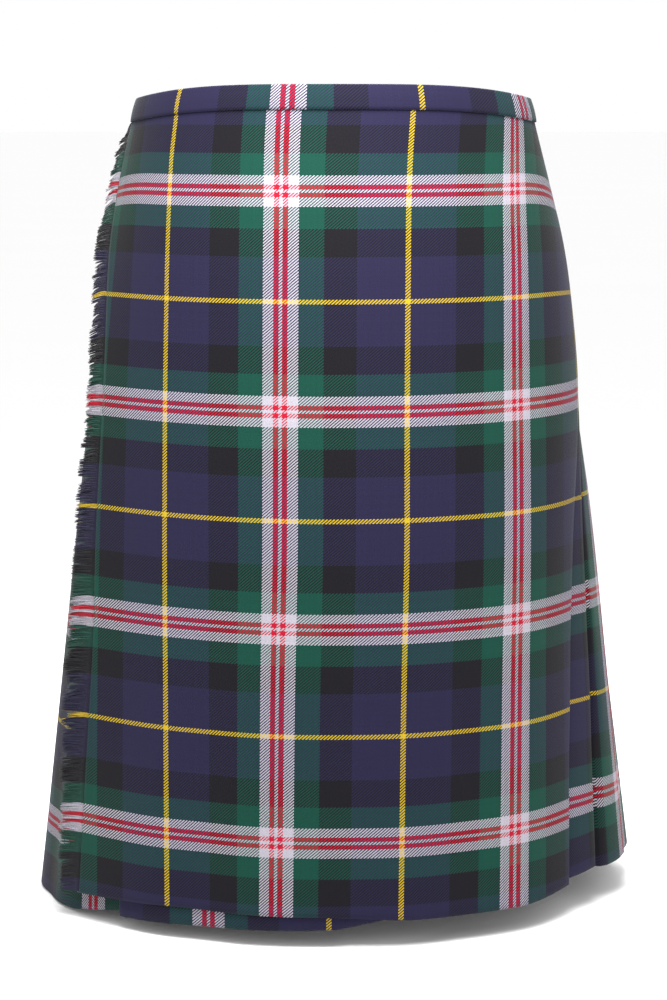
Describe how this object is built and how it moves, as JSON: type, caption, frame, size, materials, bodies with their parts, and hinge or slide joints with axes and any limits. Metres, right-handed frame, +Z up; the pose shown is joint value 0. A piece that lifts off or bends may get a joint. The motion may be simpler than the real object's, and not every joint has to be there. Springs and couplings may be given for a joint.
{
  "type": "scottish kilt",
  "caption": "Worn-shape tartan kilt: plain wrapped aprons with a fringed edge in front, knife pleats round the back, narrow waistband and side buckles.",
  "frame": {"origin": "centre of the waist opening at the level of the waistband's top edge in front, where the wearer's waist holds the kilt", "axes": "+Z up along the wearer, -Y out of the front apron, +X to the wearer's left"},
  "size_m": [0.4592, 0.3224, 0.6098],
  "materials": {
    "tartan_wool": "matt worsted wool in a navy, black and green tartan with white, red and yellow lines, 2/2 twill",
    "fringe_wool": "unravelled wool threads in the tartan's colours",
    "strap_leather": "smooth black leather, stitched edge",
    "buckle_metal": "polished plated metal"
  },
  "bodies": {
    "root": {"over_apron": "tartan_wool", "apron_fringe": "fringe_wool", "under_apron": "tartan_wool", "right_side": "tartan_wool", "waistband_over": "tartan_wool", "waistband_under": "tartan_wool", "waistband_back": "tartan_wool", "pleat_01": "tartan_wool", "pleat_02": "tartan_wool", "pleat_03": "tartan_wool", "pleat_04": "tartan_wool", "pleat_05": "tartan_wool", "pleat_06": "tartan_wool", "pleat_07": "tartan_wool", "pleat_08": "tartan_wool", "pleat_09": "tartan_wool", "pleat_10": "tartan_wool", "pleat_11": "tartan_wool", "pleat_12": "tartan_wool", "pleat_13": "tartan_wool", "pleat_14": "tartan_wool", "pleat_15": "tartan_wool", "pleat_16": "tartan_wool", "strap_left": "strap_leather", "tab_left": "strap_leather", "buckle_left": "buckle_metal", "pin_left": "buckle_metal", "strap_right": "strap_leather", "tab_right": "strap_leather", "buckle_right": "buckle_metal", "pin_right": "buckle_metal"}
  },
  "joints": []
}
